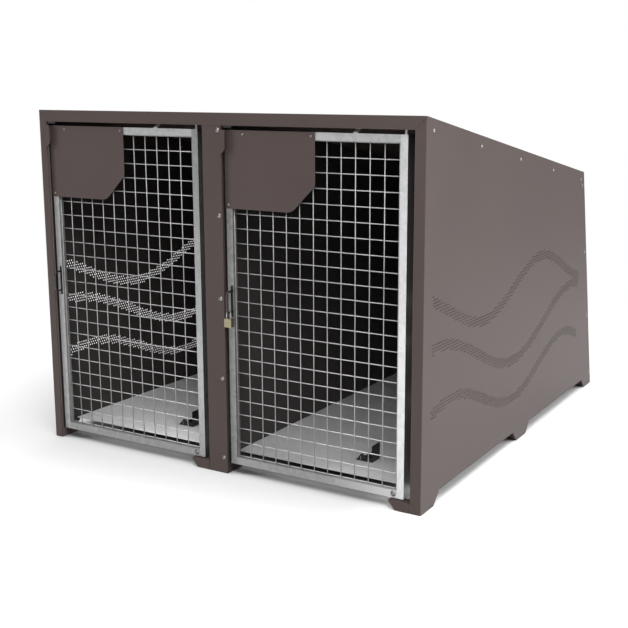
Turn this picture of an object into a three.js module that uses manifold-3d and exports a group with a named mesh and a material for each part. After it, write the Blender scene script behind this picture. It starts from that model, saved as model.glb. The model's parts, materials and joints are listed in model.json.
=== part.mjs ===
// Two-bay bicycle locker of folded sheet steel, with welded wire mesh doors that swing outwards.
// Millimetres. +X to the right along the front, +Y into the locker, +Z up, the ground at Z = 0.
import * as THREE from 'three';
import { mergeVertices } from 'three/addons/utils/BufferGeometryUtils.js';
import Module from 'manifold-3d';

const wasm = await Module();
wasm.setup();

// Casing
const lockerWidth = 1830;
const lockerHeight = 1443;
const lockerDepth = 2084;
const roofLength = 1801;
const roofRearHeight = 1156.4;
const sheet = 2.5;
const gap = 0.3;
const overrun = 5;

// Bays: each opening runs from the latch side on its left to the pivot side on its right
const latchFlange = 37;
const pivotFlange = 45;
const postWidth = 90;
const openingWidth = (lockerWidth - latchFlange - pivotFlange - postWidth) / 2;
const bayPitch = openingWidth + postWidth;
const headerHeight = 48;
const flangeReturn = 12;
const toeLength = 104;
const toeHeight = 40;
const toeSlope = 10;
const mitreGap = 0.6;

// Feet cut in the side sheets, and the folded members that carry the floor
const footHeight = 49;
const footSlope = 48;
const frontFoot = 108;
const middleFoot = 111;
const middleFootShare = 0.492;
const rearFoot = 113;
const memberLip = 18;
const sideLap = 60;
const rearLap = 45;
const postLap = 36;
const lapStart = 44;
const lapInset = 33;
const rearLapDrop = 60;

// Floor trays
const floorSheet = 2.5;
const floorFront = 128;

// Bolts and nuts along the roof edge
const boltFirst = 56.5;
const boltInset = 44;
const boltCount = 5;
const boltDrop = 41;
const boltHeadRadius = 7;
const boltHeadEdge = 1.4;
const boltHeadHeight = 3.2;
const boltCrownShare = 0.6;
const boltShankRadius = 4;
const boltNutHeight = 5;
const boltTail = 3;

// Doors of angle bar
const latchGap = 9;
const pivotGap = 33.5;
const doorBottom = 42;
const doorHeadGap = 17;
const doorRecess = 14;
const angleWidth = 29;
const angleDepth = 25;
const angleWall = 3;
const pivotLegDepth = 56;

// Welded wire infill
const wirePitchX = 60;
const wirePitchZ = 57.8;
const wireInsetLeft = 1.3;
const wireInsetRight = 7.2;
const wireInsetBottom = 4.4;
const wireInsetTop = 2;
const wireRadius = 2;
const meshSetback = 13;

// Corner plate over the lock, and the ear that stops the door against the post
const plateRight = 416;
const plateHeight = 300;
const plateOverhang = 2;
const plateSheet = 2;
const plateRise = 0.5;
const plateCorner = 104;
const plateBend = 8;
const plateLowerBend = 24;
const earOverlap = 8;
const earReach = 19;
const earHeight = 97;
const earChamfer = 23;
const earSheet = 2.5;
const earAir = 0.8;
const earBlockWidth = 9;
const earBlockHeight = 55;
const earBlockInset = 3;

// Pivots
const pivotInset = 12;
const pivotSetback = 12;
const pinRadius = 6;
const pinPlay = 0.35;
const bushRadius = 9.5;
const bushLength = 34;
const collarRadius = 8.4;
const collarHeight = 8.7;
const pinLength = 39;
const pivotPlateTop = 37;
const pivotPlateDepth = 42;
const wingGap = 2;
const wingReach = 92;
const wingSlope = 30;
const upperPlateLift = 3;
const upperPlateReach = 17;
const upperPinRise = 10;
const pivotWallLap = 32;

// Lock: a rod behind the latch stile, lifted into a keeper by a bow handle that passes a slot
const slotInset = 19;
const slotWidth = 13;
const slotBottom = 650;
const slotTop = 777;
const rodRadius = 5;
const rodPlay = 0.4;
const rodAir = 1.5;
const rodBottom = 108.3;
const rodRise = 5;
const guideShares = [0.21, 0.72, 0.94];
const guideHalf = 4;
const guideMargin = 2;
const handleLow = 671;
const handleHigh = 754;
const handleReach = 34;
const handleRadius = 4.2;
const handleBend = 15;
const keeperRise = 4;
const keeperHalf = 20;
const keeperDepth = 42;
const keeperLap = 38;
const keeperHole = 6.5;

// Closing stop behind the top rail
const stopOffset = 583;
const stopWidth = 21;
const stopSheet = 2.5;
const stopRise = 29;
const stopClear = 3;
const stopSetback = 38;
const stopBendHigh = 2;
const stopBendLow = 14;
const stopLap = 22;

// Wheel guide on the floor
const guideOffset = 87.5;
const guideWidth = 36;
const guideFront = 273;
const guideLength = 62;
const guideLowCheek = 24;
const guideHighCheek = 70;
const guideSheet = 3;
const guideStop = 18;
const guideFoot = 43;
const guideFootShares = [0.6, 0.42, 0.2];
const guideFootRise = 30;
const guideSlotWidth = 4;
const guideSlotRise = 19;

// Padlock on the right-hand handle
const padlockWidth = 34;
const padlockHeight = 35;
const padlockDepth = 16.5;
const padlockPlane = -9;
const padlockTop = 648;
const padlockEdge = 3;
const shackleRadius = 2.5;
const shackleSpan = 20;
const shackleAir = 0.8;
const shackleSeat = 14;
const shacklePlay = 0.35;

// Facets
const pinSides = 20;
const boltSides = 10;
const barSides = 10;
const bendSteps = 5;
const slotSteps = 8;

// Worked out from the sizes above
const halfWidth = lockerWidth / 2;
const wallInside = halfWidth - sheet;
const roofSlope = (lockerHeight - roofRearHeight) / roofLength;
const roofDrop = sheet * Math.hypot(1, roofSlope);
const rearLean = (lockerDepth - roofLength) / roofRearHeight;
const rearDrop = sheet * Math.hypot(1, rearLean);
const headerBottom = lockerHeight - headerHeight;
const headerEdge = lockerHeight - sheet * 2;
const middleFootCentre = lockerDepth * middleFootShare;
const lapStop = roofLength - lapInset;
const rearLapTop = roofRearHeight - rearLapDrop;
const bayLeft = -halfWidth + latchFlange;
const dividerHalf = sheet / 2;
const floorBottom = footHeight + gap;
const floorTop = floorBottom + floorSheet;
const doorTop = headerBottom - doorHeadGap;
const doorLeft = latchGap;
const doorRight = openingWidth - pivotGap;
const angleBack = doorRecess + angleWall;
const frameLeft = doorLeft + angleWidth;
const frameRight = doorRight - angleWidth;
const frameBottom = doorBottom + angleWidth;
const frameTop = doorTop - angleWidth;
const meshPlane = doorRecess + meshSetback;
const plateTop = doorTop + plateRise;
const plateBottom = plateTop - plateHeight;
const plateBack = doorRecess - gap;
const plateFront = plateBack - plateSheet;
const pivotX = doorRight - pivotInset;
const pivotY = doorRecess + pivotSetback;
const slotX = doorLeft + slotInset;
const rodY = angleBack + rodAir + rodRadius;
const rodTop = doorTop + rodRise;
const stopTop = headerBottom + stopRise;
const guideLeft = openingWidth / 2 + guideOffset - guideWidth / 2;
const guideRight = guideLeft + guideWidth;
const handleFront = doorRecess - handleReach;
const frontReach = handleRadius - handleFront;

// Finishes
function finish(colour, roughness, metalness) {
  return () => new THREE.MeshStandardMaterial({ color: colour, roughness, metalness });
}
const paintedSteel = finish(0x62564f, 0.55, 0.1);
const galvanisedSteel = finish(0xb4b6b6, 0.45, 0.8);
const blackSteel = finish(0x1d1c1b, 0.5, 0.4);
const brass = finish(0xb59a55, 0.35, 0.9);
const brightSteel = finish(0xb8b8ba, 0.25, 1);

// Solids from closed geometries, joined and cut
function solidOf(geometry) {
  const bare = geometry.index ? geometry.toNonIndexed() : geometry.clone();
  for (const name of Object.keys(bare.attributes)) {
    if (name !== 'position') bare.deleteAttribute(name);
  }
  const merged = mergeVertices(bare);
  return new wasm.Manifold(new wasm.Mesh({
    numProp: 3,
    vertProperties: new Float32Array(merged.attributes.position.array),
    triVerts: new Uint32Array(merged.index.array),
  }));
}

function geometryOf(solid) {
  const mesh = solid.getMesh();
  const geometry = new THREE.BufferGeometry();
  geometry.setAttribute('position', new THREE.BufferAttribute(mesh.vertProperties, 3));
  geometry.setIndex(new THREE.BufferAttribute(mesh.triVerts, 1));
  return geometry;
}

function join(first, ...rest) {
  return geometryOf(rest.reduce((solid, geometry) => solid.add(solidOf(geometry)), solidOf(first)));
}

function cut(first, ...tools) {
  return geometryOf(tools.reduce((solid, geometry) => solid.subtract(solidOf(geometry)), solidOf(first)));
}

// Plain forms
function extrude(shape, depth) {
  return new THREE.ExtrudeGeometry(shape, { depth, bevelEnabled: false, curveSegments: slotSteps });
}

function outline(points) {
  const list = points.map(([u, v]) => new THREE.Vector2(u, v));
  if (THREE.ShapeUtils.area(list) < 0) list.reverse();
  return new THREE.Shape(list);
}

// A flat piece drawn in X and Z, from Y = front to Y = back
function facePiece(shape, front, back) {
  const axes = new THREE.Matrix4().makeBasis(
    new THREE.Vector3(1, 0, 0), new THREE.Vector3(0, 0, 1), new THREE.Vector3(0, -1, 0));
  return extrude(shape, back - front).applyMatrix4(axes).translate(0, back, 0);
}

// A flat piece drawn in Y and Z, from X = left to X = right
function sidePiece(shape, left, right) {
  const axes = new THREE.Matrix4().makeBasis(
    new THREE.Vector3(0, 1, 0), new THREE.Vector3(0, 0, 1), new THREE.Vector3(1, 0, 0));
  return extrude(shape, right - left).applyMatrix4(axes).translate(left, 0, 0);
}

function block(left, right, front, back, bottom, top) {
  return new THREE.BoxGeometry(right - left, back - front, top - bottom)
    .translate((left + right) / 2, (front + back) / 2, (bottom + top) / 2);
}

function uprightBar(x, y, radius, bottom, top) {
  return new THREE.CylinderGeometry(radius, radius, top - bottom, pinSides)
    .rotateX(Math.PI / 2).translate(x, y, (bottom + top) / 2);
}

// The section of a sheet folded along a line of points, with its thickness on the left of the line
function foldedSection(points, thickness) {
  const line = points.map(([u, v]) => new THREE.Vector2(u, v));
  const normals = line.slice(1).map((end, i) => {
    const run = end.clone().sub(line[i]).normalize();
    return new THREE.Vector2(-run.y, run.x);
  });
  const offset = line.map((point, i) => {
    const before = normals[Math.max(i - 1, 0)];
    const after = normals[Math.min(i, normals.length - 1)];
    const along = before.clone().add(after).normalize();
    return point.clone().addScaledVector(along, thickness / along.dot(after));
  });
  return outline([...line, ...offset.reverse()].map((point) => [point.x, point.y]));
}

// A round bar along points in one plane, with its corners bent to a radius
function bentBar(points, bend, radius, sides) {
  const path = new THREE.CurvePath();
  let start = points[0];
  for (let i = 1; i < points.length - 1; i += 1) {
    const into = points[i].clone().addScaledVector(points[i - 1].clone().sub(points[i]).normalize(), bend);
    const out = points[i].clone().addScaledVector(points[i + 1].clone().sub(points[i]).normalize(), bend);
    path.add(new THREE.LineCurve3(start, into));
    path.add(new THREE.QuadraticBezierCurve3(into, points[i], out));
    start = out;
  }
  path.add(new THREE.LineCurve3(start, points[points.length - 1]));
  const section = new THREE.Shape(Array.from({ length: sides }, (unused, i) => {
    const turn = (2 * Math.PI * i) / sides;
    return new THREE.Vector2(radius * Math.cos(turn), radius * Math.sin(turn));
  }));
  const pieces = path.curves.map((curve) => (curve.isLineCurve3 ? 1 : bendSteps));
  return sweep(section, path, pieces);
}

// Rings of the section set square to the path, with flat ends
function sweep(section, path, pieces) {
  const stations = [];
  path.curves.forEach((curve, c) => {
    for (let i = c === 0 ? 0 : 1; i <= pieces[c]; i += 1) {
      stations.push([curve.getPoint(i / pieces[c]), curve.getTangent(i / pieces[c])]);
    }
  });
  const origin = stations[0][0];
  const last = stations[stations.length - 1][0];
  const middle = stations[Math.floor(stations.length / 2)][0];
  const across = new THREE.Vector3().crossVectors(last.clone().sub(origin), middle.clone().sub(origin));
  across.normalize();
  const outlinePoints = section.getPoints();
  const rings = stations.map(([point, tangent]) => {
    const side = new THREE.Vector3().crossVectors(tangent, across).normalize();
    return outlinePoints.map((p) => point.clone().addScaledVector(side, p.x).addScaledVector(across, p.y));
  });
  const triangles = [];
  const count = outlinePoints.length;
  rings.slice(1).forEach((ring, r) => {
    for (let i = 0; i < count; i += 1) {
      const j = (i + 1) % count;
      triangles.push(rings[r][i], ring[j], rings[r][j], rings[r][i], ring[i], ring[j]);
    }
  });
  const end = rings[rings.length - 1];
  for (let i = 0; i < count; i += 1) {
    const j = (i + 1) % count;
    triangles.push(origin, rings[0][i], rings[0][j], last, end[j], end[i]);
  }
  return closedSkin(triangles);
}

// A closed skin from a list of corners, turned so that its faces point out
function closedSkin(corners) {
  const geometry = new THREE.BufferGeometry().setFromPoints(corners);
  let volume = 0;
  for (let i = 0; i < corners.length; i += 3) {
    volume += corners[i].dot(new THREE.Vector3().crossVectors(corners[i + 1], corners[i + 2]));
  }
  if (volume < 0) {
    const turned = [];
    for (let i = 0; i < corners.length; i += 3) turned.push(corners[i], corners[i + 2], corners[i + 1]);
    geometry.setFromPoints(turned);
  }
  return geometry;
}

// Heights on the slanting faces
function roofAt(y) {
  return lockerHeight - roofSlope * y;
}

function rearAt(z) {
  return lockerDepth - rearLean * z;
}

// The outline of a side sheet: sloping roof line, leaning rear edge and three feet
function sheetOutline(front, drop, rearInset) {
  const middleStart = middleFootCentre - middleFoot / 2;
  const middleEnd = middleFootCentre + middleFoot / 2;
  const rearStart = lockerDepth - rearFoot;
  const rearTopZ = (roofAt(lockerDepth - rearInset) - drop) / (1 - roofSlope * rearLean);
  return outline([
    [front, 0],
    [frontFoot, 0],
    [frontFoot + footSlope, footHeight],
    [middleStart - footSlope, footHeight],
    [middleStart, 0],
    [middleEnd, 0],
    [middleEnd + footSlope, footHeight],
    [rearStart - footSlope, footHeight],
    [rearStart, 0],
    [lockerDepth - rearInset, 0],
    [rearAt(rearTopZ) - rearInset, rearTopZ],
    [front, roofAt(front) - drop],
  ]);
}

// The return behind a flange's free edge, with a toe that stands on the ground
function hem(edge) {
  const top = headerBottom - mitreGap * 2;
  return sidePiece(outline([
    [0, 0],
    [toeLength, 0],
    [toeLength, toeHeight - toeSlope],
    [toeLength - toeSlope, toeHeight],
    [flangeReturn, toeHeight],
    [flangeReturn, top],
    [0, top],
  ]), edge - sheet, edge);
}

// Places along the roof edge where a bolt holds a side panel to the roof's lap
function roofBoltPlaces() {
  const run = roofLength - boltInset - boltFirst;
  return Array.from({ length: boltCount }, (unused, i) => {
    const y = boltFirst + (run * i) / (boltCount - 1);
    return [y, roofAt(y) - boltDrop];
  });
}

function roofBores(side) {
  const radius = boltShankRadius + gap;
  return roofBoltPlaces().map(([y, z]) => new THREE.CylinderGeometry(radius, radius, overrun * 4, boltSides)
    .rotateZ(Math.PI / 2).translate(side * halfWidth, y, z));
}

// A domed bolt with its nut, seated a gap clear of the two sheets that it holds
function roofBolt(side, y, z) {
  const back = -sheet * 2 - gap * 2;
  const profile = [
    [0, back - boltNutHeight - boltTail],
    [boltShankRadius, back - boltNutHeight - boltTail],
    [boltShankRadius, back - boltNutHeight],
    [boltHeadRadius, back - boltNutHeight],
    [boltHeadRadius, back],
    [boltShankRadius, back],
    [boltShankRadius, gap],
    [boltHeadRadius, gap],
    [boltHeadRadius, boltHeadEdge],
    [boltHeadRadius * boltCrownShare, boltHeadHeight - gap],
    [0, boltHeadHeight],
  ].map(([radius, out]) => new THREE.Vector2(radius, out));
  return new THREE.LatheGeometry(profile, boltSides)
    .rotateZ(-side * Math.PI / 2).translate(side * halfWidth, y, z);
}

// Side panels: one sheet each, with a front flange mitred to the header
function sidePanel(side) {
  const flange = side < 0 ? latchFlange : pivotFlange;
  const inner = side * (halfWidth - flange);
  const wall = side < 0
    ? sidePiece(sheetOutline(0, 0, 0), -halfWidth, -wallInside)
    : sidePiece(sheetOutline(0, 0, 0), wallInside, halfWidth);
  const front = facePiece(outline([
    [inner, 0],
    [side * halfWidth, 0],
    [side * halfWidth, headerEdge - mitreGap],
    [side * wallInside, headerEdge - mitreGap],
    [inner, headerBottom - mitreGap],
  ]), 0, sheet);
  const panel = side > 0 ? join(wall, front) : join(wall, front, hem(inner));
  return cut(panel, ...roofBores(side));
}

// Centre divider: a sheet with a front flange that the post is bolted to
function centreDivider() {
  const wall = sidePiece(sheetOutline(sheet + gap, roofDrop + gap, rearDrop + gap), -dividerHalf, dividerHalf);
  const flange = block(-dividerHalf, postLap, sheet + gap, sheet * 2 + gap, 0, headerBottom - mitreGap);
  return join(wall, flange);
}

function centrePost() {
  const left = bayLeft + openingWidth;
  const right = left + postWidth;
  const face = block(left, right, 0, sheet, 0, headerBottom - mitreGap);
  return join(face, hem(right));
}

// Roof: sloping sheet, front header and a lap inside each side panel
function roofPanel() {
  const edge = wallInside - gap;
  const top = sidePiece(outline([
    [0, lockerHeight],
    [roofLength, roofRearHeight],
    [roofLength, roofRearHeight - roofDrop],
    [0, lockerHeight - roofDrop],
  ]), -edge, edge);
  const header = facePiece(outline([
    [bayLeft, headerBottom],
    [halfWidth - pivotFlange, headerBottom],
    [edge, headerEdge],
    [edge, lockerHeight - roofDrop / 2],
    [-edge, lockerHeight - roofDrop / 2],
    [-edge, headerEdge],
  ]), 0, sheet);
  const lap = outline([
    [lapStart, roofAt(lapStart) - roofDrop / 2],
    [lapStop, roofAt(lapStop) - roofDrop / 2],
    [lapStop, roofAt(lapStop) - sideLap],
    [lapStart, roofAt(lapStart) - sideLap],
  ]);
  const laps = [sidePiece(lap, -edge, sheet - edge), sidePiece(lap, edge - sheet, edge)];
  return cut(join(top, header, ...laps), ...roofBores(-1), ...roofBores(1));
}

// Rear panel: leans forward, with a lap inside each side panel
function rearPanel() {
  const edge = wallInside - gap;
  const lapBottom = floorTop + gap;
  const topZ = (roofAt(lockerDepth) - roofDrop - gap) / (1 - roofSlope * rearLean);
  const back = sidePiece(outline([
    [rearAt(footHeight), footHeight],
    [rearAt(topZ), topZ],
    [rearAt(topZ) - rearDrop, topZ],
    [rearAt(footHeight) - rearDrop, footHeight],
  ]), -edge, edge);
  const lap = outline([
    [rearAt(lapBottom) - rearDrop / 2, lapBottom],
    [rearAt(rearLapTop) - rearDrop / 2, rearLapTop],
    [rearAt(rearLapTop) - rearLap, rearLapTop],
    [rearAt(lapBottom) - rearLap, lapBottom],
  ]);
  return join(back, sidePiece(lap, -edge, sheet - edge), sidePiece(lap, edge - sheet, edge));
}

// The walls that a bay lies between
function bayWalls(bay) {
  return bay === 0
    ? { left: -wallInside, right: -dividerHalf }
    : { left: dividerHalf, right: wallInside };
}

// Floor: a galvanised plate on the cross-members, from its open front edge to the rear panel
function floorPlate(bay) {
  const { left, right } = bayWalls(bay);
  const back = rearAt(floorTop) - rearDrop - gap;
  return block(left + gap, right - gap, floorFront, back, floorBottom, floorTop);
}

// Cross-members: folded channels with the outline of the feet and lips that the floor lies on
function middleMember(bay) {
  const { left, right } = bayWalls(bay);
  const section = foldedSection([
    [middleFootCentre - middleFoot / 2 - footSlope - memberLip, footHeight - sheet],
    [middleFootCentre - middleFoot / 2 - footSlope, footHeight - sheet],
    [middleFootCentre - middleFoot / 2, 0],
    [middleFootCentre + middleFoot / 2, 0],
    [middleFootCentre + middleFoot / 2 + footSlope, footHeight - sheet],
    [middleFootCentre + middleFoot / 2 + footSlope + memberLip, footHeight - sheet],
  ], sheet);
  return sidePiece(section, left + gap, right - gap);
}

function rearMember(bay) {
  const { left, right } = bayWalls(bay);
  const start = lockerDepth - rearFoot;
  const end = rearAt(footHeight) - rearDrop - gap;
  const section = foldedSection([
    [start - footSlope - memberLip, footHeight - sheet],
    [start - footSlope, footHeight - sheet],
    [start, 0],
    [end, 0],
    [end, footHeight],
  ], sheet);
  return sidePiece(section, left + gap, right - gap);
}

// Lower pivot: wing plate beside the foot, shelf behind the flange, wall lap and upright pin
function lowerPivot(wall) {
  const shelfBottom = pivotPlateTop - sheet;
  const left = openingWidth - wingReach;
  const right = openingWidth - wingGap;
  const wing = facePiece(outline([
    [left, pivotPlateTop],
    [left, shelfBottom],
    [left + wingSlope, 0],
    [right, 0],
    [right, pivotPlateTop],
  ]), 0, sheet);
  const shelf = block(left, wall - gap, sheet + gap, pivotPlateDepth, shelfBottom, pivotPlateTop);
  const fold = block(left, right, 0, sheet * 2, shelfBottom, pivotPlateTop);
  const lap = block(wall - gap - sheet, wall - gap, sheet + gap, pivotPlateDepth, 0, pivotPlateTop);
  const collar = uprightBar(pivotX, pivotY, collarRadius, shelfBottom, pivotPlateTop + collarHeight);
  const pin = uprightBar(pivotX, pivotY, pinRadius, shelfBottom, pivotPlateTop + pinLength);
  return join(wing, fold, shelf, lap, collar, pin);
}

// Upper pivot: a plate behind the header that the door's pin turns in
function upperPivot(wall) {
  const bottom = headerBottom + upperPlateLift;
  const plate = block(pivotX - upperPlateReach, wall - gap, sheet + gap, pivotPlateDepth, bottom, bottom + sheet);
  const lap = block(wall - gap - sheet, wall - gap, sheet + gap, pivotPlateDepth, bottom, bottom + pivotWallLap);
  const hole = uprightBar(pivotX, pivotY, pinRadius + pinPlay, bottom - overrun, bottom + sheet + overrun);
  return cut(join(plate, lap), hole);
}

// Keeper: an angle hung behind the header, forked so that the rod rises behind its bridge
function keeper() {
  const bottom = rodTop + keeperRise;
  const left = slotX - keeperHalf;
  const right = slotX + keeperHalf;
  const shelf = block(left, right, sheet + gap, sheet + gap + keeperDepth, bottom, bottom + sheet);
  const lap = block(left, right, sheet + gap, sheet * 2 + gap, bottom, bottom + keeperLap);
  const fork = block(slotX - keeperHole, slotX + keeperHole, rodY - keeperHole, sheet + keeperDepth + overrun,
    bottom - overrun, bottom + sheet + overrun);
  return cut(join(shelf, lap), fork);
}

// Closing stop: a cranked strip from the header down behind the top rail
function closingStop() {
  const behind = angleBack + gap;
  const section = foldedSection([
    [sheet + gap + stopSheet, stopTop - stopLap],
    [sheet + gap + stopSheet, stopTop - stopSheet],
    [stopSetback, stopTop - stopSheet],
    [stopSetback, headerBottom - stopBendHigh],
    [behind, headerBottom - stopBendLow],
    [behind, frameTop + angleWall + stopClear],
  ], stopSheet);
  return sidePiece(section, stopOffset - stopWidth / 2, stopOffset + stopWidth / 2);
}

// Wheel guide: a folded channel with a low and a high cheek, and a front plate with a slotted foot
function wheelGuide() {
  const base = floorTop + gap;
  const section = foldedSection([
    [guideLeft, base + guideLowCheek],
    [guideLeft, base],
    [guideRight, base],
    [guideRight, base + guideHighCheek],
  ], guideSheet);
  const channel = facePiece(section, guideFront, guideFront + guideLength);
  const [low, slot, high] = guideFootShares.map((share) => guideLeft - guideFoot * share);
  const plate = facePiece(outline([
    [guideLeft - guideFoot, base],
    [low, base + guideStop],
    [slot, base + guideFootRise],
    [high, base + guideFootRise],
    [guideLeft, base + guideLowCheek],
    [guideLeft + guideSheet, base + guideStop],
    [guideRight, base + guideStop],
    [guideRight, base],
  ]), guideFront, guideFront + guideSheet);
  const opening = block(slot - guideSlotWidth, slot, guideFront - overrun, guideFront + guideSheet + overrun,
    base + guideSheet, base + guideSlotRise);
  return cut(join(channel, plate), opening);
}

// Door frame: four lengths of angle bar with their inner legs turned back
function stileSection(edge, legSide) {
  return outline([
    [edge - legSide * angleWidth, doorRecess],
    [edge, doorRecess],
    [edge, doorRecess + angleDepth],
    [edge - legSide * angleWall, doorRecess + angleDepth],
    [edge - legSide * angleWall, angleBack],
    [edge - legSide * angleWidth, angleBack],
  ]);
}

function stile(edge, legSide) {
  return extrude(stileSection(edge, legSide), doorTop - doorBottom).translate(0, 0, doorBottom);
}

function lockSlot() {
  const half = slotWidth / 2;
  const shape = new THREE.Shape();
  shape.moveTo(slotX - half, slotBottom + half);
  shape.absarc(slotX, slotBottom + half, half, Math.PI, 0, false);
  shape.absarc(slotX, slotTop - half, half, 0, Math.PI, false);
  return facePiece(shape, doorRecess - overrun, angleBack + overrun);
}

function rodGuide(height, half) {
  return block(slotX - rodRadius - guideMargin, frameLeft - angleWall + guideMargin,
    angleBack - guideMargin, rodY + rodRadius + guideMargin, height - half, height + half);
}

function latchStile() {
  const guides = guideShares.map((share) => rodGuide(doorBottom + (doorTop - doorBottom) * share, guideHalf));
  const bore = uprightBar(slotX, rodY, rodRadius + rodPlay, rodBottom - gap, doorTop);
  const rest = rodGuide(rodBottom - gap - guideHalf, guideHalf);
  return join(cut(join(stile(frameLeft, 1), ...guides), bore, lockSlot()), rest);
}

// The pivot stile has a deep outer leg too, which closes the gap beside the pivots to the eye
function pivotStile() {
  const bushBottom = pivotPlateTop + collarHeight + gap;
  const bush = uprightBar(pivotX, pivotY, bushRadius, bushBottom, bushBottom + bushLength);
  const bore = uprightBar(pivotX, pivotY, pinRadius + pinPlay, bushBottom - overrun, bushBottom + bushLength + overrun);
  const boss = uprightBar(pivotX, pivotY, bushRadius, doorTop - bushLength, doorTop);
  const pinTop = headerBottom + upperPlateLift + sheet + upperPinRise;
  const pin = uprightBar(pivotX, pivotY, pinRadius, doorTop - overrun, pinTop);
  const leg = block(doorRight - angleWall, doorRight, doorRecess, doorRecess + pivotLegDepth, doorBottom, doorTop);
  return join(cut(join(stile(frameRight, -1), leg, bush), bore), boss, pin);
}

function rail(edge, legSide) {
  const section = outline([
    [doorRecess, edge - legSide * angleWidth],
    [doorRecess, edge],
    [doorRecess + angleDepth, edge],
    [doorRecess + angleDepth, edge - legSide * angleWall],
    [angleBack, edge - legSide * angleWall],
    [angleBack, edge - legSide * angleWidth],
  ]);
  return sidePiece(section, frameLeft + gap, frameRight - gap);
}

// Wire lines at an even pitch between two sides of the frame, with a border bar out to each side
function wireLines(low, high, lowInset, highInset, nominalPitch) {
  const start = low + lowInset;
  const end = high - highInset;
  const spaces = Math.round((end - start) / nominalPitch);
  const pitch = (end - start) / spaces;
  const wires = Array.from({ length: spaces - 1 }, (unused, i) => start + pitch * (i + 1));
  const lowHalf = (start + wireRadius - low - gap) / 2;
  const highHalf = (high - gap - end + wireRadius) / 2;
  const lines = [low + gap + lowHalf, ...wires, high - gap - highHalf];
  const halves = [lowHalf, ...wires.map(() => wireRadius), highHalf];
  const outer = lines.map((line, i) => {
    if (i === 0) return low + gap;
    return i === spaces ? high - gap : line;
  });
  return { lines, halves, outer };
}

// Welded mesh: wires of lozenge section that cross in one plane, inside a border bar
function wireMesh() {
  const across = wireLines(frameLeft, frameRight, wireInsetLeft, wireInsetRight, wirePitchX);
  const upward = wireLines(frameBottom, frameTop, wireInsetBottom, wireInsetTop, wirePitchZ);
  const xs = across.lines;
  const zs = upward.lines;
  const halfX = across.halves;
  const halfZ = upward.halves;
  const corners = [];
  const quad = (face, a, b, c, d) => {
    if (face < 0) corners.push(a, b, c, a, c, d);
    else corners.push(a, c, b, a, d, c);
  };
  const ridge = (face, i, j) => new THREE.Vector3(xs[i], meshPlane + face * wireRadius, zs[j]);
  const edge = (x, z) => new THREE.Vector3(x, meshPlane, z);
  const outX = (i) => across.outer[i];
  const outZ = (j) => upward.outer[j];
  for (const face of [-1, 1]) {
    for (let i = 0; i < xs.length - 1; i += 1) {
      quad(face, ridge(face, i + 1, 0), ridge(face, i, 0), edge(outX(i), outZ(0)), edge(outX(i + 1), outZ(0)));
      const j = zs.length - 1;
      quad(face, ridge(face, i, j), ridge(face, i + 1, j), edge(outX(i + 1), outZ(j)), edge(outX(i), outZ(j)));
    }
    for (let j = 0; j < zs.length - 1; j += 1) {
      quad(face, ridge(face, 0, j), ridge(face, 0, j + 1), edge(outX(0), outZ(j + 1)), edge(outX(0), outZ(j)));
      const i = xs.length - 1;
      quad(face, ridge(face, i, j + 1), ridge(face, i, j), edge(outX(i), outZ(j)), edge(outX(i), outZ(j + 1)));
    }
    for (let i = 0; i < xs.length - 1; i += 1) {
      for (let j = 0; j < zs.length - 1; j += 1) {
        const lowLeft = edge(xs[i] + halfX[i], zs[j] + halfZ[j]);
        const lowRight = edge(xs[i + 1] - halfX[i + 1], zs[j] + halfZ[j]);
        const highLeft = edge(xs[i] + halfX[i], zs[j + 1] - halfZ[j + 1]);
        const highRight = edge(xs[i + 1] - halfX[i + 1], zs[j + 1] - halfZ[j + 1]);
        quad(face, ridge(face, i, j), ridge(face, i + 1, j), lowRight, lowLeft);
        quad(face, ridge(face, i + 1, j + 1), ridge(face, i, j + 1), highLeft, highRight);
        quad(face, ridge(face, i, j + 1), ridge(face, i, j), lowLeft, highLeft);
        quad(face, ridge(face, i + 1, j), ridge(face, i + 1, j + 1), highRight, lowRight);
      }
    }
  }
  return closedSkin(corners);
}

// Corner plate over the top of the lock, its free corner cut off and eased
function cornerPlate() {
  const left = doorLeft - plateOverhang;
  const top = plateTop;
  const turn = Math.SQRT1_2 * plateBend;
  const lowerTurn = Math.SQRT1_2 * plateLowerBend;
  const shape = new THREE.Shape();
  shape.moveTo(left, plateBottom);
  shape.lineTo(plateRight - plateCorner - plateLowerBend, plateBottom);
  shape.quadraticCurveTo(plateRight - plateCorner, plateBottom,
    plateRight - plateCorner + lowerTurn, plateBottom + lowerTurn);
  shape.lineTo(plateRight - turn, plateBottom + plateCorner - turn);
  shape.quadraticCurveTo(plateRight, plateBottom + plateCorner, plateRight, plateBottom + plateCorner + plateBend);
  shape.lineTo(plateRight, top);
  shape.lineTo(left, top);
  return facePiece(shape, plateFront, plateBack);
}

// Ear in front of the post, on a block that stands on the corner plate
function stopEar() {
  const top = plateTop;
  const bottom = top - earHeight;
  const strip = facePiece(outline([
    [-earOverlap, bottom],
    [earReach - earChamfer, bottom],
    [earReach, bottom + earChamfer],
    [earReach, top],
    [-earOverlap, top],
  ]), -earAir - earSheet, -earAir);
  const right = earReach - earBlockInset;
  const blockTop = top - earBlockWidth;
  const spacer = block(right - earBlockWidth, right, -earAir - earSheet / 2, plateFront - gap,
    blockTop - earBlockHeight, blockTop);
  return join(strip, spacer);
}

// Lock rod and its bow handle
function lockRod() {
  return uprightBar(slotX, rodY, rodRadius, rodBottom, rodTop);
}

function bowHandle() {
  const seat = rodY - rodRadius - gap;
  const corner = (y, z) => new THREE.Vector3(slotX, y, z);
  return bentBar([
    corner(seat, handleLow),
    corner(handleFront, handleLow),
    corner(handleFront, handleHigh),
    corner(seat, handleHigh),
  ], handleBend, handleRadius, barSides);
}

// Padlock: brass body bored for the legs, and a bow shackle round the handle's lower leg
function shackleCentre() {
  return handleLow + handleRadius + shackleAir + shackleRadius - shackleSpan / 2;
}

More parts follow.
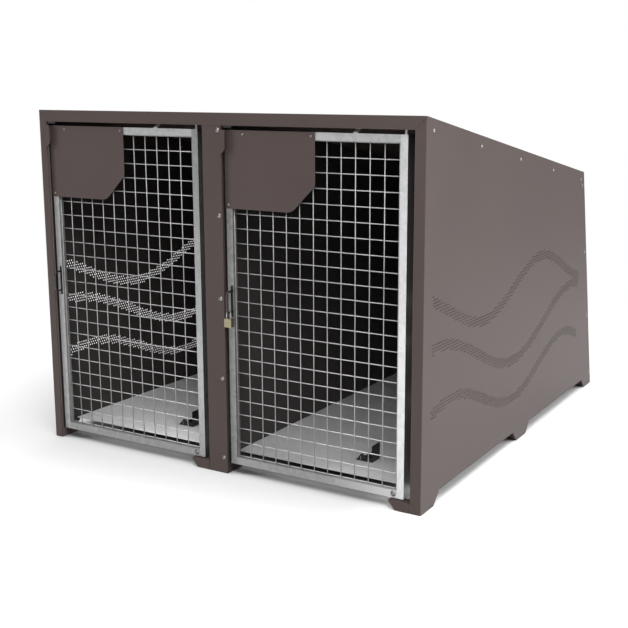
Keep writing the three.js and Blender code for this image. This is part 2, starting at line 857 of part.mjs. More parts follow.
function padlockShackle() {
  const centre = shackleCentre();
  const foot = padlockTop - shackleSeat;
  const steps = barSides;
  const path = new THREE.CurvePath();
  const at = (turn) => new THREE.Vector3(
    slotX - (shackleSpan / 2) * Math.cos(turn), padlockPlane, centre + (shackleSpan / 2) * Math.sin(turn));
  path.add(new THREE.LineCurve3(new THREE.Vector3(slotX - shackleSpan / 2, padlockPlane, foot), at(0)));
  for (let i = 0; i < steps; i += 1) {
    path.add(new THREE.LineCurve3(at((Math.PI * i) / steps), at((Math.PI * (i + 1)) / steps)));
  }
  path.add(new THREE.LineCurve3(at(Math.PI), new THREE.Vector3(slotX + shackleSpan / 2, padlockPlane, foot)));
  return bowSweep(path, shackleRadius, barSides);
}

// A sweep whose joints are mitred halfway between the two straight runs that meet there
function bowSweep(path, radius, sides) {
  const points = path.curves.map((curve) => curve.v1).concat(path.curves[path.curves.length - 1].v2);
  const across = new THREE.Vector3(0, 1, 0);
  const rings = points.map((point, i) => {
    const before = points[i].clone().sub(points[Math.max(i - 1, 0)]).normalize();
    const after = points[Math.min(i + 1, points.length - 1)].clone().sub(points[i]).normalize();
    const tangent = before.add(after).normalize();
    const side = new THREE.Vector3().crossVectors(tangent, across).normalize();
    return Array.from({ length: sides }, (unused, k) => {
      const turn = (2 * Math.PI * k) / sides;
      return point.clone().addScaledVector(side, radius * Math.cos(turn))
        .addScaledVector(across, radius * Math.sin(turn));
    });
  });
  const corners = [];
  for (let k = 0; k < sides; k += 1) {
    const n = (k + 1) % sides;
    for (let r = 0; r < rings.length - 1; r += 1) {
      corners.push(rings[r][k], rings[r + 1][n], rings[r][n], rings[r][k], rings[r + 1][k], rings[r + 1][n]);
    }
    const end = rings[rings.length - 1];
    corners.push(points[0], rings[0][k], rings[0][n], points[points.length - 1], end[n], end[k]);
  }
  return closedSkin(corners);
}

function padlockBody() {
  const half = padlockWidth / 2;
  const bottom = padlockTop - padlockHeight;
  const shape = outline([
    [slotX - half + padlockEdge, bottom],
    [slotX + half - padlockEdge, bottom],
    [slotX + half, bottom + padlockEdge],
    [slotX + half, padlockTop - padlockEdge],
    [slotX + half - padlockEdge, padlockTop],
    [slotX - half + padlockEdge, padlockTop],
    [slotX - half, padlockTop - padlockEdge],
    [slotX - half, bottom + padlockEdge],
  ]);
  const body = facePiece(shape, padlockPlane - padlockDepth / 2, padlockPlane + padlockDepth / 2);
  const bores = [-1, 1].map((side) => uprightBar(slotX + side * shackleSpan / 2, padlockPlane,
    shackleRadius + shacklePlay, padlockTop - shackleSeat - gap, padlockTop + overrun));
  return cut(body, ...bores);
}

// The assembly
const locker = new THREE.Group();
locker.position.y = (frontReach - lockerDepth) / 2;

function place(parent, name, geometry, material) {
  const mesh = new THREE.Mesh(geometry, material());
  mesh.name = name;
  parent.add(mesh);
}

place(locker, 'side_panel_left', sidePanel(-1), paintedSteel);
place(locker, 'side_panel_right', sidePanel(1), paintedSteel);
place(locker, 'centre_divider', centreDivider(), paintedSteel);
place(locker, 'centre_post', centrePost(), paintedSteel);
place(locker, 'roof_panel', roofPanel(), paintedSteel);
place(locker, 'rear_panel', rearPanel(), paintedSteel);

['left', 'right'].forEach((name, bay) => {
  const side = bay * 2 - 1;
  roofBoltPlaces().forEach(([y, z], i) => {
    place(locker, `roof_bolt_${name}_${i + 1}`, roofBolt(side, y, z), brightSteel);
  });
  place(locker, `floor_${name}`, floorPlate(bay), galvanisedSteel);
  place(locker, `middle_member_${name}`, middleMember(bay), paintedSteel);
  place(locker, `rear_member_${name}`, rearMember(bay), paintedSteel);

  const bayGroup = new THREE.Group();
  bayGroup.position.x = bayLeft + bay * bayPitch;
  locker.add(bayGroup);
  const wall = bayWalls(bay).right - bayGroup.position.x;
  place(bayGroup, `lower_pivot_${name}`, lowerPivot(wall), paintedSteel);
  place(bayGroup, `upper_pivot_${name}`, upperPivot(wall), paintedSteel);
  place(bayGroup, `rod_keeper_${name}`, keeper(), blackSteel);
  place(bayGroup, `closing_stop_${name}`, closingStop(), galvanisedSteel);
  place(bayGroup, `wheel_guide_${name}`, wheelGuide(), blackSteel);

  const door = new THREE.Group();
  bayGroup.add(door);
  place(door, `latch_stile_${name}`, latchStile(), galvanisedSteel);
  place(door, `pivot_stile_${name}`, pivotStile(), galvanisedSteel);
  place(door, `top_rail_${name}`, rail(frameTop, -1), galvanisedSteel);
  place(door, `bottom_rail_${name}`, rail(frameBottom, 1), galvanisedSteel);
  place(door, `wire_mesh_${name}`, wireMesh(), galvanisedSteel);
  place(door, `corner_plate_${name}`, cornerPlate(), paintedSteel);
  place(door, `stop_ear_${name}`, stopEar(), paintedSteel);
  place(door, `lock_rod_${name}`, lockRod(), blackSteel);
  place(door, `bow_handle_${name}`, bowHandle(), blackSteel);
  if (bay === 1) {
    place(door, 'padlock_shackle', padlockShackle(), brightSteel);
    place(door, 'padlock_body', padlockBody(), brass);
  }
});

export default locker;
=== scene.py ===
import json
import math

import bmesh
import bpy
from mathutils import Matrix, Vector
from mathutils.geometry import delaunay_2d_cdt


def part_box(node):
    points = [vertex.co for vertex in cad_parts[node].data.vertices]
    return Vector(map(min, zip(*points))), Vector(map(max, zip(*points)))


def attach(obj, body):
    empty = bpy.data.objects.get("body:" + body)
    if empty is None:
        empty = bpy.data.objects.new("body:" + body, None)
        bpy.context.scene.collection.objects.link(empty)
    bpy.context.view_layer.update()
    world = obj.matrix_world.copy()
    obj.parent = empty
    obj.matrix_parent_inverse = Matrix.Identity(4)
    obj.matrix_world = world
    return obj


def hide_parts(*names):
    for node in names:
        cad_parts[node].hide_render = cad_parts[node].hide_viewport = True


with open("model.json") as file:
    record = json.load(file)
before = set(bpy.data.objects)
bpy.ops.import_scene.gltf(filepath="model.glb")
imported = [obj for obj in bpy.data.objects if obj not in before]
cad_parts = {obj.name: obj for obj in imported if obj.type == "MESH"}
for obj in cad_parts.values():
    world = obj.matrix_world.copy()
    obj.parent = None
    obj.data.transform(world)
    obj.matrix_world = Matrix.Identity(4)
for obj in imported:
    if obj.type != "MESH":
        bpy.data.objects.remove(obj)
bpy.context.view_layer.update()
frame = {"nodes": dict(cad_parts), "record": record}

# Sizes are metres. Places on the locker are given from its front face, which lies at
# Y = FRONT in the part's frame, and from the ground.
FRONT = -1.0299
HALF_WIDTH = 0.915
DEPTH = 2.084
ROOF_DEPTH = 1.801
FRONT_HEIGHT = 1.443
REAR_HEIGHT = 1.1564
ROOF_SLOPE = (FRONT_HEIGHT - REAR_HEIGHT) / ROOF_DEPTH
REAR_LEAN = (DEPTH - ROOF_DEPTH) / REAR_HEIGHT
SHEET = 0.0025
DOOR_LEFT = {"left": -0.878, "right": 0.041}
NODES = frame["nodes"]


# Materials: shader helpers
def new_material(name):
    mat = bpy.data.materials.new(name)
    mat.use_nodes = True
    tree = mat.node_tree
    return mat, tree, tree.nodes["Principled BSDF"]


def object_coords(tree, scale=(1, 1, 1)):
    tex = tree.nodes.new("ShaderNodeTexCoord")
    mapping = tree.nodes.new("ShaderNodeMapping")
    mapping.inputs["Scale"].default_value = scale
    tree.links.new(tex.outputs["Object"], mapping.inputs["Vector"])
    return mapping.outputs["Vector"]


def axes_of(tree, coordinates):
    """The X, Y and Z of one kind of texture coordinates."""
    tex = tree.nodes.new("ShaderNodeTexCoord")
    apart = tree.nodes.new("ShaderNodeSeparateXYZ")
    tree.links.new(tex.outputs[coordinates], apart.inputs["Vector"])
    return apart.outputs


def noise(tree, vector, scale, detail=3.0, rough=0.5):
    node = tree.nodes.new("ShaderNodeTexNoise")
    node.inputs["Scale"].default_value = scale
    node.inputs["Detail"].default_value = detail
    node.inputs["Roughness"].default_value = rough
    tree.links.new(vector, node.inputs["Vector"])
    return node.outputs["Fac"]


def two_tone(tree, value, dark, light, low=0.3, high=0.7):
    """The dark colour up to low, the light one from high on, blended between."""
    node = tree.nodes.new("ShaderNodeValToRGB")
    stops = node.color_ramp.elements
    for stop, position, tone in zip(stops, (low, high), (dark, light)):
        stop.position = position
        stop.color = (*tone, 1)
    tree.links.new(value, node.inputs["Fac"])
    return node.outputs["Color"]


def map_range(tree, value, source=(0.0, 1.0), target=(0.0, 1.0), smooth=False):
    node = tree.nodes.new("ShaderNodeMapRange")
    if smooth:
        node.interpolation_type = "SMOOTHSTEP"
    node.inputs["From Min"].default_value, node.inputs["From Max"].default_value = source
    node.inputs["To Min"].default_value, node.inputs["To Max"].default_value = target
    tree.links.new(value, node.inputs["Value"])
    return node.outputs["Result"]


def calculate(tree, operation, *terms):
    """A maths node whose terms are numbers or outputs of other nodes."""
    node = tree.nodes.new("ShaderNodeMath")
    node.operation = operation
    for socket, term in zip(node.inputs, terms):
        if isinstance(term, float):
            socket.default_value = term
        else:
            tree.links.new(term, socket)
    return node.outputs["Value"]


def toned(tree, base, tone, share):
    """The base colour turned into a grey tone, by a share from 0 to 1."""
    mix = tree.nodes.new("ShaderNodeMix")
    mix.data_type = "RGBA"
    mix.inputs["B"].default_value = (*grey(tone), 1)
    tree.links.new(share, mix.inputs["Factor"])
    tree.links.new(base, mix.inputs["A"])
    return mix.outputs["Result"]


def retone(tree, bsdf, tone, share):
    """Puts a grey tone over the base colour that a material already has."""
    base = bsdf.inputs["Base Color"].links[0].from_socket
    tree.links.new(toned(tree, base, tone, share), bsdf.inputs["Base Color"])


def set_roughness(tree, bsdf, value, rough, less, more):
    spread = map_range(tree, value, target=(rough - less, rough + more))
    tree.links.new(spread, bsdf.inputs["Roughness"])


def bump(tree, bsdf, height, strength):
    node = tree.nodes.new("ShaderNodeBump")
    node.inputs["Strength"].default_value = strength
    node.inputs["Distance"].default_value = 0.0004
    tree.links.new(height, node.inputs["Height"])
    tree.links.new(node.outputs["Normal"], bsdf.inputs["Normal"])


def grey(value):
    return (value, value, value)


# Materials: the kinds of surface
def painted(name, dark, light, rough, shine):
    """Powder coat: a faint broad unevenness and a fine grain."""
    mat, tree, bsdf = new_material(name)
    bsdf.inputs["Specular IOR Level"].default_value = shine
    vector = object_coords(tree)
    broad = noise(tree, vector, scale=1.7, detail=4.0, rough=0.55)
    tree.links.new(two_tone(tree, broad, dark, light), bsdf.inputs["Base Color"])
    set_roughness(tree, bsdf, broad, rough, less=0.05, more=0.08)
    bump(tree, bsdf, noise(tree, vector, scale=900.0, detail=2.0), strength=0.12)
    return mat


def galvanised(name, dark, light, rough=0.45, metallic=0.6, flakes=60.0):
    """Hot dip zinc: crystal flakes over a broad mottle."""
    mat, tree, bsdf = new_material(name)
    vector = object_coords(tree)
    cells = tree.nodes.new("ShaderNodeTexVoronoi")
    cells.inputs["Scale"].default_value = flakes
    tree.links.new(vector, cells.inputs["Vector"])
    flake = tree.nodes.new("ShaderNodeRGBToBW")
    tree.links.new(cells.outputs["Color"], flake.inputs["Color"])
    broad = noise(tree, vector, scale=4.0, detail=5.0, rough=0.6)
    mottle = calculate(tree, "MULTIPLY", broad, 0.65)
    mixed = calculate(tree, "MULTIPLY_ADD", flake.outputs["Val"], 0.35, mottle)
    tree.links.new(two_tone(tree, mixed, dark, light, high=0.68), bsdf.inputs["Base Color"])
    bsdf.inputs["Metallic"].default_value = metallic
    set_roughness(tree, bsdf, mixed, rough, less=0.08, more=0.1)
    bump(tree, bsdf, noise(tree, vector, scale=350.0), strength=0.1)
    return mat


def metal(name, dark, light, rough, brushed=(1, 1, 1)):
    mat, tree, bsdf = new_material(name)
    grain = noise(tree, object_coords(tree, brushed), scale=160.0, rough=0.6)
    tree.links.new(two_tone(tree, grain, dark, light), bsdf.inputs["Base Color"])
    bsdf.inputs["Metallic"].default_value = 1.0
    set_roughness(tree, bsdf, grain, rough, less=0.06, more=0.08)
    return mat


def paint_shade_on_leg(mat, tone, metallic):
    """Painted shade: another tone on faces that look along +X, darkening a stile's leg beside the
    dark gap.
    """
    tree = mat.node_tree
    bsdf = tree.nodes["Principled BSDF"]
    facing = map_range(tree, axes_of(tree, "Normal")["X"], source=(0.7, 0.9))
    retone(tree, bsdf, tone, facing)
    plain = bsdf.inputs["Metallic"].default_value
    share = map_range(tree, facing, target=(plain, metallic))
    tree.links.new(share, bsdf.inputs["Metallic"])
    return mat


def paint_light_towards_end(mat, tone, axis, start, stop):
    """Painted light: a paler tone towards one end of a piece, from start to stop along an axis."""
    tree = mat.node_tree
    along = map_range(tree, axes_of(tree, "Object")[axis], source=(start, stop), smooth=True)
    retone(tree, tree.nodes["Principled BSDF"], tone, along)
    return mat


# Materials: colours, as a dark and a light tone of each
BROWN = painted("brown_powder_coat", (0.057, 0.043, 0.039), (0.065, 0.050, 0.046), 0.50, 0.25)
# Painted light: the hem behind the left flange is a lighter copy of the front brown, as if lit
BROWN_HEM_PAINTED_LIGHT = painted("brown_hem_painted_light", (0.120, 0.096, 0.090), (0.135, 0.110, 0.104), 0.50, 0.25)
BROWN_INSIDE = painted("brown_inner_face", (0.052, 0.046, 0.044), (0.060, 0.053, 0.051), 0.55, 0.2)
BROWN_DIVIDER = painted("brown_divider", (0.058, 0.053, 0.051), (0.066, 0.061, 0.059), 0.55, 0.2)
# Painted light: the side sheets have the front's paint made lighter, for the stronger light on the
# sides
BROWN_SIDE_PAINTED_LIGHT = painted("brown_side_sheet_painted_light", (0.099, 0.077, 0.073), (0.110, 0.087, 0.082), 0.46, 0.25)
PLATE = painted("brown_corner_plate", (0.059, 0.044, 0.042), (0.067, 0.051, 0.049), 0.50, 0.25)
BLACK = painted("black_coat", grey(0.010), (0.018, 0.017, 0.016), 0.38, 0.5)

GALV = galvanised("galvanised_frame", (0.39, 0.395, 0.395), (0.49, 0.495, 0.495))
# Painted light: the floors are paler than the frame's zinc, for the light they get in the bays;
# the left one more than the right
GALV_FLOOR_PAINTED_LIGHT = galvanised("galvanised_floor_painted_light", grey(0.88), grey(0.94), 0.5, 0.1, 35.0)
GALV_FLOOR_RIGHT_PAINTED_LIGHT = galvanised("galvanised_floor_right_painted_light", grey(0.58), grey(0.64), 0.5, 0.1, 35.0)
# Painted light: a paler zinc for the closing stops, so that they look lit though they face down
GALV_PAINTED_LIGHT = galvanised("galvanised_painted_light", grey(0.57), grey(0.69), 0.36)
# Painted light on the front of the right pivot stile, and painted shade on its leg that looks
# along +X
GALV_PIVOT_PAINTED_LIGHT_AND_SHADE = galvanised("galvanised_pivot_painted_light_and_shade", grey(0.57), grey(0.69), 0.36)
paint_shade_on_leg(GALV_PIVOT_PAINTED_LIGHT_AND_SHADE, 0.30, 0.94)
# Painted shade: a darker zinc for the left pivot stile
GALV_GLOSSY_PAINTED_SHADE = galvanised("galvanised_glossy_painted_shade", (0.32, 0.325, 0.325), (0.40, 0.405, 0.405), 0.30, 0.92)
# Painted shade: the darkest zinc, for the right latch stile in the shade of the post
GALV_DEEP_PAINTED_SHADE = galvanised("galvanised_deep_painted_shade", (0.21, 0.21, 0.205), (0.31, 0.31, 0.305))
# Painted shade: a slightly darker zinc for the left latch stile beside the left flange
GALV_LATCH_PAINTED_SHADE = galvanised("galvanised_latch_painted_shade", (0.35, 0.35, 0.348), (0.46, 0.46, 0.458))
# Painted shade: a darker zinc for the bottom rails; on the right one, painted light towards its
# right end
GALV_RAIL_PAINTED_SHADE = galvanised("galvanised_rail_painted_shade", (0.27, 0.272, 0.272), (0.35, 0.352, 0.352))
GALV_RAIL_RIGHT_PAINTED_SHADE_AND_LIGHT = galvanised("galvanised_rail_right_painted_shade_and_light", (0.27, 0.272, 0.272), (0.35, 0.352, 0.352))
paint_light_towards_end(GALV_RAIL_RIGHT_PAINTED_SHADE_AND_LIGHT, 0.56, "X", 0.45, 0.85)
WIRE_PAINTED_LIGHT = galvanised("galvanised_wire_painted_light", grey(0.33), grey(0.40), 0.45, 0.5)
# Painted light: the wires grow paler towards the bottom
paint_light_towards_end(WIRE_PAINTED_LIGHT, 0.58, "Z", 0.85, 0.12)

BRASS = metal("brass_case", (0.27, 0.235, 0.145), (0.40, 0.355, 0.235), 0.36, (1, 1, 12))
STEEL = metal("bright_steel", grey(0.32), grey(0.48), 0.28)
BOLT = metal("zinc_bolt", (0.20, 0.19, 0.18), (0.34, 0.33, 0.32), 0.4)
DARK_STEEL = metal("dark_steel", (0.05, 0.048, 0.046), (0.10, 0.098, 0.095), 0.35)

# What each slot of the record looks like, and the nodes with a tone of their own;
# many of these tones are painted light or shade
SLOT_LOOKS = {
    "painted_steel": BROWN,
    "galvanised_steel": GALV,
    "black_steel": BLACK,
    "brass": BRASS,
    "bright_steel": STEEL,
}
PIECE_LOOKS_WITH_PAINTED_LIGHT = {
    "side_panel_left": BROWN_SIDE_PAINTED_LIGHT, "side_panel_right": BROWN_SIDE_PAINTED_LIGHT,
    "centre_divider": BROWN_DIVIDER,
    "corner_plate_left": PLATE, "corner_plate_right": PLATE,
    "pivot_stile_right": GALV_PIVOT_PAINTED_LIGHT_AND_SHADE, "pivot_stile_left": GALV_GLOSSY_PAINTED_SHADE,
    "closing_stop_left": GALV_PAINTED_LIGHT, "closing_stop_right": GALV_PAINTED_LIGHT,
    "latch_stile_left": GALV_LATCH_PAINTED_SHADE, "latch_stile_right": GALV_DEEP_PAINTED_SHADE,
    "bottom_rail_left": GALV_RAIL_PAINTED_SHADE, "bottom_rail_right": GALV_RAIL_RIGHT_PAINTED_SHADE_AND_LIGHT,
    "floor_left": GALV_FLOOR_PAINTED_LIGHT, "floor_right": GALV_FLOOR_RIGHT_PAINTED_LIGHT,
    "wire_mesh_left": WIRE_PAINTED_LIGHT, "wire_mesh_right": WIRE_PAINTED_LIGHT,
    "bow_handle_left": DARK_STEEL, "bow_handle_right": DARK_STEEL,
}
NODE_SLOTS = {part["node"]: part["material_slot"] for part in frame["record"]["subparts"]}

for name, obj in NODES.items():
    obj.data.materials.clear()
    obj.data.materials.append(PIECE_LOOKS_WITH_PAINTED_LIGHT.get(name, SLOT_LOOKS[NODE_SLOTS[name]]))


# Meshes
def mesh_object(name, bm, mat, body, smooth=True):
    mesh = bpy.data.meshes.new(name)
    bm.to_mesh(mesh)
    bm.free()
    obj = bpy.data.objects.new(name, mesh)
    bpy.context.scene.collection.objects.link(obj)
    mesh.materials.append(mat)
    for polygon in mesh.polygons:
        polygon.use_smooth = smooth
    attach(obj, body)
    return obj


def spot(x, y, z):
    """A place given from the front face, in the part's frame."""
    return Vector((x, y + FRONT, z))


def ring(bm, centre, radius, side, up, count):
    """Vertices evenly round a circle."""
    turns = [2 * math.pi * k / count for k in range(count)]
    return [bm.verts.new(centre + radius * (math.cos(t) * side + math.sin(t) * up)) for t in turns]


def skin(bm, low, high):
    """Faces between two rings."""
    for k in range(len(low)):
        n = (k + 1) % len(low)
        bm.faces.new((low[k], low[n], high[n], high[k]))


# Round wires of the doors: the upright ones lie in front of the level ones
WIRE_RADIUS = 0.0020
WIRE_SIDES = 8
UPRIGHTS = [0.0393 + 0.060 * k for k in range(13)]
LEVELS = [0.0754 + 0.0578 * k for k in range(23)]
UPRIGHT_Y = 0.0255
LEVEL_Y = 0.0291


def wire(bm, start, end):
    axis = (end - start).normalized()
    side = axis.orthogonal().normalized()
    up = axis.cross(side)
    low, high = [ring(bm, point, WIRE_RADIUS, side, up, WIRE_SIDES) for point in (start, end)]
    skin(bm, low, high)
    bm.faces.new(list(reversed(low)))
    bm.faces.new(high)


def door_wires(bay):
    lo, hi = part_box(f"wire_mesh_{bay}")
    bm = bmesh.new()
    for upright in UPRIGHTS:
        x = DOOR_LEFT[bay] + upright
        wire(bm, spot(x, UPRIGHT_Y, lo.z), spot(x, UPRIGHT_Y, hi.z))
    for z in LEVELS:
        wire(bm, spot(lo.x, LEVEL_Y, z), spot(hi.x, LEVEL_Y, z))
    bmesh.ops.recalc_face_normals(bm, faces=bm.faces)
    obj = mesh_object(f"wires_{bay}", bm, WIRE_PAINTED_LIGHT, f"door_{bay}")
    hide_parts(f"wire_mesh_{bay}")


for bay in DOOR_LEFT:
    door_wires(bay)

# Perforated side sheets: outline with its feet, as depth and height
SIDE_OUTLINE = [
    (0, 0), (0.108, 0), (0.156, 0.049), (0.92183, 0.049), (0.96983, 0), (1.08083, 0),
    (1.12883, 0.049), (1.923, 0.049), (1.971, 0), (DEPTH, 0), (ROOF_DEPTH, REAR_HEIGHT),
    (0, FRONT_HEIGHT),
]
# Ribbons of holes: mid height, rise, length of one wave, and its start
RIBBONS = ((0.30, 0.085, 1.30, 0.4), (0.50, 0.110, 1.55, 1.1), (0.72, 0.090, 1.30, 2.0))
RIBBON_HALF = 0.021
HOLE_RADIUS = 0.0038
HOLE_SIDES = 8
PITCH = 0.013
ROW_PITCH = PITCH * 0.92
FIRST_HOLE = (0.075, 0.086)
HOLE_COUNTS = (134, 72)
LAST_HOLE = 1.79
REAR_MARGIN = 0.054
# Holes of the roof edge bolts
BOLT_HOLE_RADIUS = 0.0043
BOLT_HOLE_SIDES = 10
ROOF_BOLTS = (0.0565, 1.757, 5)
ROOF_BOLT_DROP = 0.041
# Triangulation: how near two points are one, the cell size of the search for a hole, and the
# share of its radius inside which a triangle belongs to the hole
MERGE = 1e-7
CELL = 0.02
CORE = 0.93
# The folded front flange and, on the left, the hem behind it
FLANGE_WIDTH = {-1: 0.037, 1: 0.045}
FLANGE_TOP = (1.3944, 1.4374)
HEM = [
    (SHEET, 0), (0.104, 0), (0.104, 0.030), (0.094, 0.040), (0.012, 0.040), (0.012, 1.3938),
    (SHEET, 1.3938),
]
# Material slots of a side sheet
OUTER_FACE, FLANGE_FACE, HEM_FACE, INNER_FACE = range(4)


def ribbon_distance(y, z):
    """How far a place on the side sheet is from the nearest ribbon's middle."""
    nearest = 1.0
    for centre, height, length, phase in RIBBONS:
        turn = 2 * math.pi * y / length + phase
        slope = 2 * math.pi * height / length * math.cos(turn)
        offset = abs(z - centre - height * math.sin(turn))
        nearest = min(nearest, offset / math.sqrt(1 + slope * slope))
    return nearest


def hole_places():
    places = []
    columns, rows = HOLE_COUNTS
    for j in range(rows):
        z = FIRST_HOLE[1] + ROW_PITCH * j
        for i in range(columns):
            y = FIRST_HOLE[0] + PITCH * (i + 0.5 * (j % 2))
            on_field = y < LAST_HOLE and y < DEPTH - REAR_MARGIN - z * REAR_LEAN
            if on_field and ribbon_distance(y, z) < RIBBON_HALF:
                places.append((y, z))
    return places


def roof_bolt_places():
    first, last, count = ROOF_BOLTS
    places = []
    for k in range(count):
        y = first + (last - first) * k / (count - 1)
        places.append((y, FRONT_HEIGHT - ROOF_SLOPE * y - ROOF_BOLT_DROP))
    return places


HOLES = [(y, z, HOLE_RADIUS, HOLE_SIDES) for y, z in hole_places()]
HOLES += [(y, z, BOLT_HOLE_RADIUS, BOLT_HOLE_SIDES) for y, z in roof_bolt_places()]


def on_sheet(y, z):
    """Whether a place lies inside the outline of the side sheet."""
    inside = False
    for (y0, z0), (y1, z1) in zip(SIDE_OUTLINE, SIDE_OUTLINE[1:] + SIDE_OUTLINE[:1]):
        if (z0 > z) != (z1 > z) and y < y0 + (y1 - y0) * (z - z0) / (z1 - z0):
            inside = not inside
    return inside


def hole_loop(y, z, radius, sides):
    turns = [2 * math.pi * (k + 0.5) / sides for k in range(sides)]
    return [(y + radius * math.cos(t), z + radius * math.sin(t)) for t in turns]


def cell_of(y, z):
    return round(y / CELL), round(z / CELL)


def cut_sheet():
    """Points, triangles and rim edges of the flat sheet with its holes left open."""
    points, rims = [], []
    for loop in [SIDE_OUTLINE] + [hole_loop(*hole) for hole in HOLES]:
        start = len(points)
        points += [Vector(p) for p in loop]
        rims += [(start + k, start + (k + 1) % len(loop)) for k in range(len(loop))]
    border = list(range(len(SIDE_OUTLINE)))
    verts, _, faces, sources, _, _ = delaunay_2d_cdt(points, rims, [border], 1, MERGE, True)
    cells = {}
    for y, z, radius, _ in HOLES:
        cells.setdefault(cell_of(y, z), []).append((y, z, radius))
    kept = []
    for face in faces:
        cy = sum(verts[k][0] for k in face) / len(face)
        cz = sum(verts[k][1] for k in face) / len(face)
        ky, kz = cell_of(cy, cz)
        near = [hole for a in (-1, 0, 1) for b in (-1, 0, 1)
                for hole in cells.get((ky + a, kz + b), [])]
        in_hole = any((cy - y) ** 2 + (cz - z) ** 2 < (CORE * radius) ** 2
                      for y, z, radius in near)
        if on_sheet(cy, cz) and not in_hole:
            kept.append(face)
    place_of = {old: new for new, olds in enumerate(sources) for old in olds}
    return verts, kept, [(place_of[a], place_of[b]) for a, b in rims]


FLAT_SHEET = cut_sheet()


def side_sheet(side):
    """The flat sheet as an outer and an inner face, joined along all rims."""
    verts, faces, rims = FLAT_SHEET
    bm = bmesh.new()
    outer, inner = [[bm.verts.new((x, v[0] + FRONT, v[1])) for v in verts]
                    for x in (side * HALF_WIDTH, side * (HALF_WIDTH - SHEET))]
    for face in faces:
        for layer, material in ((outer, OUTER_FACE), (inner, INNER_FACE)):
            bm.faces.new([layer[k] for k in face]).material_index = material
    for a, b in rims:
        bm.faces.new((outer[a], outer[b], inner[b], inner[a]))
    bmesh.ops.recalc_face_normals(bm, faces=bm.faces)
    return bm


def prism_into(bm, points, offset, material):
    """A flat outline of points, thickened along offset, in the material of that slot."""
    a = [bm.verts.new(p) for p in points]
    b = [bm.verts.new(Vector(p) + offset) for p in points]
    faces = [bm.faces.new(a), bm.faces.new(list(reversed(b)))]
    for k in range(len(a)):
        n = (k + 1) % len(a)
        faces.append(bm.faces.new((a[n], a[k], b[k], b[n])))
    bmesh.ops.recalc_face_normals(bm, faces=faces)
    for face in faces:
        face.material_index = material


def side_panel(name, side):
    bm = side_sheet(side)
    inner = side * (HALF_WIDTH - FLANGE_WIDTH[side])
    wall = side * (HALF_WIDTH - SHEET)
    flange = [(inner, 0), (wall, 0), (wall, FLANGE_TOP[1]), (inner, FLANGE_TOP[0])]
    prism_into(bm, [spot(x, 0, z) for x, z in flange], Vector((0, SHEET, 0)), FLANGE_FACE)
    # On the left, the hem, whose faces take the lighter brown of painted light
    if side < 0:
        prism_into(bm, [spot(inner, y, z) for y, z in HEM], Vector((-SHEET, 0, 0)), HEM_FACE)
    # The outer faces take the lighter side brown, which is painted light
    obj = mesh_object(f"{name}_sheet", bm, BROWN_SIDE_PAINTED_LIGHT, "locker", smooth=False)
    for mat in (BROWN, BROWN_HEM_PAINTED_LIGHT, BROWN_INSIDE):
        obj.data.materials.append(mat)
    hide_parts(name)


side_panel("side_panel_left", -1)
side_panel("side_panel_right", 1)

# Bolt and rivet heads: radius and height of each kind, and its washer's thickness
POST_BOLT = (0.0065, 0.0042, 0.0012)
EDGE_BOLT = (0.0065, 0.003, 0.001)
REAR_BOLT = (0.0065, 0.0036, 0.001)
RAIL_BOLT = (0.0075, 0.0040, 0.001)
PLATE_RIVET = (0.0048, 0.0026, 0.0)
FLOOR_BOLT = (0.006, 0.0026, 0.0)
WASHER_SHARE = 1.45
DOME_STEPS = 5
DOME_SIDES = 18

# Where they sit
POST_X = 0.024
POST_HEIGHTS = (1.377, 1.049, 0.721, 0.396, 0.065)
REAR_EDGE_PLACES = ((1.788, 1.091), (1.872, 0.746), (1.957, 0.396), (2.040, 0.066))
PLATE_FACE = 0.0117
PLATE_PLACES = ((0.0918, 1.3637), (0.3979, 1.3634), (0.0215, 1.0934))
RAIL_PLACE = (0.752, 0.014, 0.0585)
REAR_HALF_SPREAD = 0.86
REAR_COLUMNS = 7
REAR_LOW, REAR_HIGH = 0.075, 1.118
FLOOR_EDGE = {"left": -0.9, "right": 0.012}
FLOOR_FACE = 0.0518
FLOOR_DEPTHS = (0.94, 1.11, 1.99)
FLOOR_OFFSETS = (0.12, 0.444, 0.768)


def head(name, place, normal, kind, body):
    """A domed head on a face; the face's outward normal is given."""
    radius, height, washer = kind
    profile = [(radius, washer)]
    if washer:
        profile = [(radius * WASHER_SHARE, 0.0), (radius * WASHER_SHARE, washer)] + profile
    for k in range(1, DOME_STEPS):
        t = math.pi / 2 * k / DOME_STEPS
        profile.append((radius * math.cos(t), washer + (height - washer) * math.sin(t)))
    normal = Vector(normal).normalized()
    side = normal.orthogonal().normalized()
    up = normal.cross(side)
    bm = bmesh.new()
    rings = [ring(bm, place + normal * h, r, side, up, DOME_SIDES) for r, h in profile]
    top = bm.verts.new(place + normal * height)
    for low, high in zip(rings, rings[1:]):
        skin(bm, low, high)
    for k in range(DOME_SIDES):
        bm.faces.new((rings[-1][k], rings[-1][(k + 1) % DOME_SIDES], top))
    bm.faces.new(list(reversed(rings[0])))
    bmesh.ops.recalc_face_normals(bm, faces=bm.faces)
    mesh_object(name, bm, BOLT, body)


def casing_bolt(name, place, normal, kind):
    head(name, place, normal, kind, "locker")


